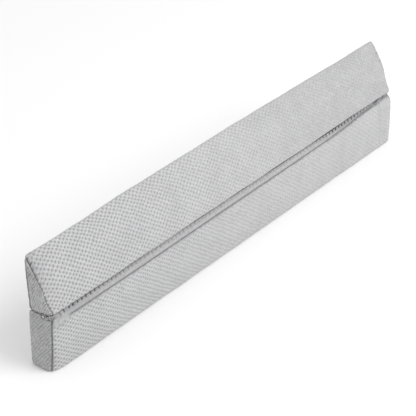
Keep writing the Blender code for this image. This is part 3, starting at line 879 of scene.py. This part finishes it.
# End panels: a cap is extruded and scaled ring by ring from the seam to its crown
panel = {
    "around": 168, "rim": 0.0012, "crown": 0.0025, "roll": 0.022, "rollAtWaist": 0.01, "inset": 0.7,
    "rings": (0.994, 0.986, 0.976, 0.962, 0.942, 0.915, 0.88, 0.84, 0.79, 0.73, 0.66, 0.58, 0.49, 0.39,
              0.28, 0.17, 0.07),
    "sizes": (0.0, 0.45, 0.74, 0.9, 0.975, 0.992, 1.0), "rises": (1.0, 1.0, 0.9, 0.62, 0.3, 0.14, 0.0),
    "pucker": 0.00035, "puckerReach": 0.16, "fold": 0.00022, "foldAcross": 0.62, "foldUp": 0.78,
    # behind, wideBehind and the seams' second strengths: painted shade along the panels' back edge
    "foldsPerMetre": 240, "behind": (0.0165, 0.004), "seamWide": 0.012, "wideBehind": 0.3,
    "wedgeSeam": (0.45, 1.7), "blockSeam": (1.25, 0.35), "plainTop": 0.195, "plainOver": 0.02,
}


def panelRise(size, atWaist):
    roll = 1 - max(0.0, 1 - (1 - size) / mixed(panel["roll"], panel["rollAtWaist"], atWaist)) ** 2
    crown = panel["crown"] * np.interp(size, panel["sizes"], panel["rises"])
    return panel["rim"] * math.sqrt(roll) + crown


def panelRings(rim):  # a bmesh of the cap, and the size of each vertex's ring
    places = toPlace(rim)
    centre = Vector(places.mean(axis=0))
    bm = bmesh.new()
    bmesh.ops.create_circle(bm, cap_ends=True, segments=panel["around"], radius=1.0)
    sizeOf = {}
    for vert, place in zip(bm.verts, places):
        vert.co = place
        sizeOf[vert] = 1.0
    first = cap = bm.faces[:][0]
    last = 1.0
    for size in panel["rings"]:
        made = bmesh.ops.extrude_face_region(bm, geom=[cap])["geom"]
        verts = [item for item in made if isinstance(item, bmesh.types.BMVert)]
        if cap is not first:
            bmesh.ops.delete(bm, geom=[cap], context="FACES_ONLY")
        cap = next(item for item in made if isinstance(item, bmesh.types.BMFace))
        share = size / last
        bmesh.ops.scale(bm, verts=verts, vec=(1, share, share), space=Matrix.Translation(-centre))
        sizeOf.update((vert, size) for vert in verts)
        last = size
    bmesh.ops.poke(bm, faces=[cap])
    return bm, {vert: sizeOf.get(vert, 0.0) for vert in bm.verts}, centre


def seamAndBackShade(vert, size):  # how dark the seam line is in front, and the painted shade along the back edge, wider and softer: strengths are (in front, behind)
    behind = rising(vert.co.y, *panel["behind"])
    near, far = panel["wedgeSeam" if vert.co.z > pillow["waist"] else "blockSeam"]
    far *= rising(panel["plainTop"], vert.co.z, panel["plainOver"])
    away = mixed((1 - size) / panel["seamWide"], ((1 - size) / panel["wideBehind"]) ** 2, behind)
    return math.exp(-away) * mixed(near, far, behind) * (1 - 0.5 * waistShare(vert.co.z))


def endPanel(node, side, sizes, finish, seed):
    outline = sizes["sectionAt"](side * sizes["half"])
    around = panel["around"]
    rails = railsAt(outline, np.arange(around) * lengthsOf(closedRound(outline))[-1] / around)
    rim = np.concatenate([np.full((around, 1), side * sizes["half"]), sampled(outline, rails)], axis=1)
    inset = panel["inset"] * sizes["seamDeep"] * (1 - waistShare(rim[:, 2]))
    bm, sizeOf, centre = panelRings(rim - outwardOf(rim[None])[0] * inset[:, None])
    random = np.random.default_rng(seed)
    waves = [(random.integers(9, 34), random.uniform(0, 6.28), random.uniform(0.4, 1)) for _ in range(7)]
    for vert, size in sizeOf.items():
        depth = pillow["backPlane"] - vert.co.y
        height = vert.co.z
        reach = sizes["half"] + panelRise(size, waistShare(height)) + endReach(sizes, depth, height)
        turn = math.atan2(height - centre.z, vert.co.y - centre.y)
        radial = sum(strength * math.sin(count * turn + phase) for count, phase, strength in waves)
        near = math.exp(-(1 - size) / panel["puckerReach"]) * min(1.0, (1 - size) / 0.02)
        slant = (depth * panel["foldAcross"] - height * panel["foldUp"]) * panel["foldsPerMetre"]
        folds = math.sin(slant + 1.7 * math.sin(height * 130 + seed) + seed)
        soft = min(1.0, (1 - size) / 0.1)
        vert.co.x = side * (reach + panel["pucker"] * near * radial * 0.5 + panel["fold"] * folds * soft)
    bmesh.ops.recalc_face_normals(bm, faces=bm.faces)
    edges = np.array([seamAndBackShade(vert, size) for vert, size in sizeOf.items()], dtype=np.float32)
    mesh = meshFrom(bm, node + "_panel")
    mesh.attributes.new("edge", "FLOAT", "POINT").data.foreach_set("value", edges)
    made = addPiece(node + "_panel", mesh, finish, [node])


# Finish of the end panels: slanted ribs, which stand steeper and closer on the wedge
def panelFinish():
    look = {
        "ground": grey(0.518, 0.005), "rib": grey(0.182, 0.005), "hole": grey(0.192, 0.005),
        "dark": grey(0.05, 0.005), "ribPitch": 0.0046, "loops": 210.0, "fine": 900.0, "crumple": 420.0,
        "bump": (0.0006, 0.8),
    }
    made = Finish("knit_end_panel", 0.88, sheen=0.2)
    coords = made.local()
    parts = made.node("ShaderNodeSeparateXYZ", None, {0: coords})
    onWedge = parts[2].maths("GREATER_THAN", pillow["waist"])
    top = parts[2].ramp(0.12, 0.195)
    slant = parts[1] * (-0.79 - onWedge * 0.095) - parts[2] * (0.613 - onWedge * 0.147)
    slant = (slant + (made.noise(coords, 60.0) - 0.5) * 0.0075) * (1.0 + onWedge * 0.18)
    patchy = made.noise(coords, 120.0).ramp(0.3, 0.6)
    mottled = made.noise(coords, 190.0, 3.0).ramp(0.38, 0.64)
    wave = (slant * (6.2832 / look["ribPitch"])).maths("SINE")
    rib = (wave * 0.5 + 0.5) * (patchy * 0.8 + 0.2)
    loops = made.loops(coords, look["loops"])
    fine = made.loops(coords, look["fine"])
    besideY = parts[1] - (pillow["backPlane"] - tack["depth"])
    besideZ = parts[2] - pillow["waist"]
    fromTack = (besideY * besideY * 0.22 + besideZ * besideZ * 1.4).maths("SQRT")
    crumple = made.noise(coords, look["crumple"]).ramp(0.46, 0.6) * fromTack.ramp(0.0025, 0.0062, 1.0, 0.0)
    shade = 0.17 - onWedge * 0.17 + top * 0.1 + mottled * (0.22 + top * 0.3 - onWedge * 0.06)
    ribbed = rib * (0.42 + onWedge * 0.26 - top * 0.15) + shade
    holes = loops.ramp(0.05, 0.4, 1.0, 0.0) * 0.4 + fine * 0.2
    # The edge mark: dark seam line in front, painted shade along the back edge
    made.layers(look, ("rib", ribbed), ("hole", holes), ("dark", crumple * 0.9),
                ("dark", made.mark("edge").ramp(0.1, 1.0) * 0.65))
    made.bump(rib * -0.7 + loops * 0.5 - fine * 0.2 - crumple * 1.5, *look["bump"])
    return made


# Knotted ends of the waist's thread, one bundle on each end; the right one sits further back
tack = {
    "count": 64, "depth": 0.0375, "wide": 0.0125, "high": 0.0036, "up": 0.0008, "rightBack": 0.011,
    "length": 0.008, "thick": 0.001, "out": (0.0004, 0.002), "ground": grey(0.05, 0.005),
    "light": grey(0.66, 0.01),
}


def threadTack(name, side, finish):
    random = np.random.default_rng(40 + side)
    bm = bmesh.new()
    for _ in range(tack["count"]):
        depth = tack["depth"] + random.uniform(-1, 1) * random.uniform(0.3, 1) * tack["wide"]
        depth -= tack["rightBack"] if side > 0 else 0
        height = pillow["waist"] + tack["up"] + random.uniform(-1, 1) * tack["high"]
        under = block if height < pillow["waist"] else wedge
        reach = under["half"] + panel["rim"] + endReach(under, depth, height) + random.uniform(*tack["out"])
        turn = Matrix.Rotation(random.uniform(0, math.pi), 4, "X")
        turn = turn @ Matrix.Rotation(random.uniform(-0.6, 0.6), 4, "Z")
        long = tack["length"] * random.uniform(0.5, 1)
        size = Matrix.Diagonal((tack["thick"], long, tack["thick"], 2)) * 0.5
        place = Matrix.Translation((side * reach, pillow["backPlane"] - depth, height))
        bmesh.ops.create_uvsphere(bm, u_segments=8, v_segments=6, radius=1.0, matrix=place @ turn @ size)
    addPiece(name, meshFrom(bm, name), finish)


def threadFinish():
    made = Finish("waist_thread", 0.7)
    made.layers(tack, ("light", made.noise(made.local(), 260.0, 1.0).ramp(0.42, 0.58)))
    return made


panelKnit = panelFinish()
thread = threadFinish()
sides = (("left", -1), ("right", 1))
for word, side in sides:
    endPanel("wedge_end_" + word, side, wedge, panelKnit, 3 + side)
    endPanel("block_end_" + word, side, block, panelKnit, 7 + side)
print("end panels sewn on")
for word, side in sides:
    threadTack("waist_thread_" + word, side, thread)


# Strip over the zip, gathered under the wedge's front edge
strip = {
    "half": 1.0, "bow": 0.0, "tuck": 0.0, "topOut": 0.0, "bevel": 0.0011, "step": 0.00132, "pit": 0.0016,
    "puff": 0.0005, "swell": 0.0008, "flatWidth": 0.018, "edgeRound": 0.0006, "topRound": 0.0004,
    "lowRound": 0.0011, "shown": 0.012, "wave": 0.0003, "sway": 0.00022, "highFrom": -0.0092,
    "highOver": 0.0036, "deeper": 0.0024, "deeperFrom": (0.22, 0.08), "shadeTall": 0.011, "shadeGap": 0.002,
    "lowShade": 0.9, "lowTall": 0.0022, "dark": (-0.005, 0.0025), "darkEnd": (0.425, 0.012),
}


def stripSection(x):
    sink = zipper["sink"] * rising(zipper["sinkFrom"], x, zipper["sinkOver"])
    low = stripEdge(x)
    top = stripTop(x)
    back = top - strip["bevel"]
    thick = zipper["stripThick"]
    return outlineOf([
        (stripDepth(low, thick) - sink, low, strip["edgeRound"], 0),
        (stripDepth(back, thick) - sink, back, strip["topRound"], 0),
        (stripDepth(top) - sink, top, strip["topRound"], 0),
        (stripDepth(low) - sink, low, strip["lowRound"], 0),
    ])


strip["sectionAt"] = stripSection


def zipStrip(finish):
    rails = np.array([0, 3, 6, 10, 14, 18, 22, 26, 30, 34, 38, 42, 46, 50, 51.2, 52.4, 53.6, 54.8, 56, 57,
                      58, 59, 60, 62, 64, 66, 68, 70, 73, 76.5])
    long = zipper["right"] - zipper["hidden"]
    xs = np.linspace(zipper["hidden"], zipper["right"], round(long / strip["step"]) + 1)
    points = surfaceOf(xs, rails, strip)
    height = points[..., 2]
    pull = columnOf(gatherAt, xs)
    top = columnOf(stripTop, xs)
    low = columnOf(stripEdge, xs)
    tip = wedge["tip"] + columnAlong("edgeRise", xs)
    front = smoothStep(np.clip((rails - 38) / 8, 0, 1) * np.clip((64 - rails) / 5, 0, 1))[None, :]
    shown = rising(xs, zipper["hidden"], strip["shown"])[:, None]
    middle = np.clip((height - low) / (top - low), 0, 1)
    deeper = strip["deeper"] * rising(xs[:, None], *strip["deeperFrom"])  # longer gathers by the slider
    high = rising(height - tip, strip["highFrom"] - deeper, strip["highOver"] + 0.5 * deeper)
    wave = unevenness(len(xs), 1 + len(rails), 6, 9, 61)[:, :len(rails)]
    sway = unevenness(len(xs), 1 + len(rails), 13, 40, 62)[:, :len(rails)]

    # Painted shade on the strip: darker under the wedge's edge, towards the slider's end and along its lower
    # edge in the zip's groove; the top mark carries it
    shade = np.clip(1 - (tip - strip["shadeGap"] - height) / strip["shadeTall"], 0, 1) ** 1.5
    shade = np.clip(shade + columnAlong("stripShade", xs), 0, 1.4)
    puff = strip["puff"] * np.sin(np.pi * middle) + strip["swell"] * high
    points[..., 1] -= front * strip["pit"] * pull * high
    points[..., 1] += front * (1 - pull) * puff * shown
    points[..., 1] += front * strip["wave"] * wave * shown
    points[..., 2] += strip["sway"] * sway * (1 - middle) * shown

    # From here the height is the swayed one, because it is a view of the points
    shade = np.maximum(shade, strip["lowShade"] * np.exp(-((height - low) / strip["lowTall"]) ** 2))
    # Painted shade in the gather pits, right under the wedge's edge and at the strip's end by the slider; the
    # pit mark carries it
    dark = np.maximum(rising(height - tip, *strip["dark"]), rising(xs[:, None], *strip["darkEnd"]))
    dark = columnAlong("stripDark", xs) * dark
    marks = {"pit": np.maximum(pull * high, dark) * front, "top": shade * front}
    along = lengthsOf(sampled(stripSection(0.0), rails))
    mesh = tubeMesh("zip_strip", points, xs, np.append(along, along[-1] + 0.001), marks=marks)
    made = addPiece("zip_strip", mesh, finish, ["zip_flap"])


def stripFinish():
    look = {
        "ground": grey(0.487, 0.005), "shade": grey(0.291, 0.005), "pit": grey(0.025, 0.001),
        "bump": (0.0006, 0.8),
    }
    made = Finish("knit_strip", 0.88, sheen=0.2)
    coords = made.weave()
    fine = made.loops(coords, 620.0)
    cloudy = made.noise(coords, 230.0)
    slanted = made.noise(made.mapped(coords, -0.5, (1.5, 0.4, 1.0)), 260.0, 1.0)
    # The top and pit marks lay painted shade into the strip's colour
    made.layers(look, ("shade", cloudy.ramp(0.4, 0.65) * 0.45 + made.mark("top") * 0.75),
                ("shade", slanted.ramp(0.5, 0.66) * 0.35 + fine * 0.3),
                ("pit", made.mark("pit").ramp(0.12, 0.7) * 0.93))
    made.bump(cloudy * 0.6 - fine * 0.4 - slanted * 0.5, *look["bump"])
    return made


zipStrip(stripFinish())
print("zip strip gathered")


# Coil of the zip in the groove under the strip; its teeth lean to one side and the other by turns
coil = {
    "pitch": 0.0015, "tooth": (0.00085, 0.0008, 0.0019), "end": 0.4431, "sink": 0.0008, "turn": 14,
    "step": 0.00022, "bevel": 0.00018, "ground": grey(0.26, 0.01), "light": grey(0.4, 0.01),
}


def zipCoil(finish):
    bm = bmesh.new()
    lean = Matrix.Rotation(-math.atan(zipper["lean"]), 4, "X")
    for index in range(int((coil["end"] - zipper["fadeTo"]) / coil["pitch"]) + 1):
        way = 1 if index % 2 else -1
        x = coil["end"] - index * coil["pitch"]
        height = alongLine("zipHeight", x) + way * coil["step"]
        place = Vector((x, pillow["backPlane"] - stripDepth(height, coil["sink"]), height))
        turn = Matrix.Rotation(math.radians(way * coil["turn"]), 4, "Y")
        size = Matrix.Diagonal((*coil["tooth"], 1))
        bmesh.ops.create_cube(bm, size=1.0, matrix=Matrix.Translation(place) @ lean @ turn @ size)
    bmesh.ops.bevel(bm, geom=bm.edges[:], affect="EDGES", offset=coil["bevel"], segments=1, profile=0.5,
                    material=-1)
    addPiece("zip_coil_teeth", meshFrom(bm, "zip_coil_teeth"), finish, ["zip_chain"])


def coilFinish():
    made = Finish("zip_coil", 0.5)
    made.layers(coil, ("light", made.noise(made.local(), 900.0)))
    return made


zipCoil(coilFinish())


# Cast metal of the slider and its pull, which stay as the CAD made them
metal = {"ground": (0.5, 0.52, 0.51, 1), "dark": (0.32, 0.33, 0.33, 1), "bump": (0.0001, 0.5)}


def metalFinish():
    made = Finish("zip_metal", 0.34, metallic=0.9)
    coords = made.local()
    worn = made.noise(coords, 700.0, 3.0)
    made.layers(metal, ("dark", worn))
    made.feed("Roughness", worn * 0.25 + 0.24)
    made.bump(made.noise(coords, 1500.0), *metal["bump"])
    return made


castMetal = metalFinish()
for node in ("zip_slider", "zip_pull"):
    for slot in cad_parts[node].material_slots:
        slot.material = castMetal.material
print("zip fitted")
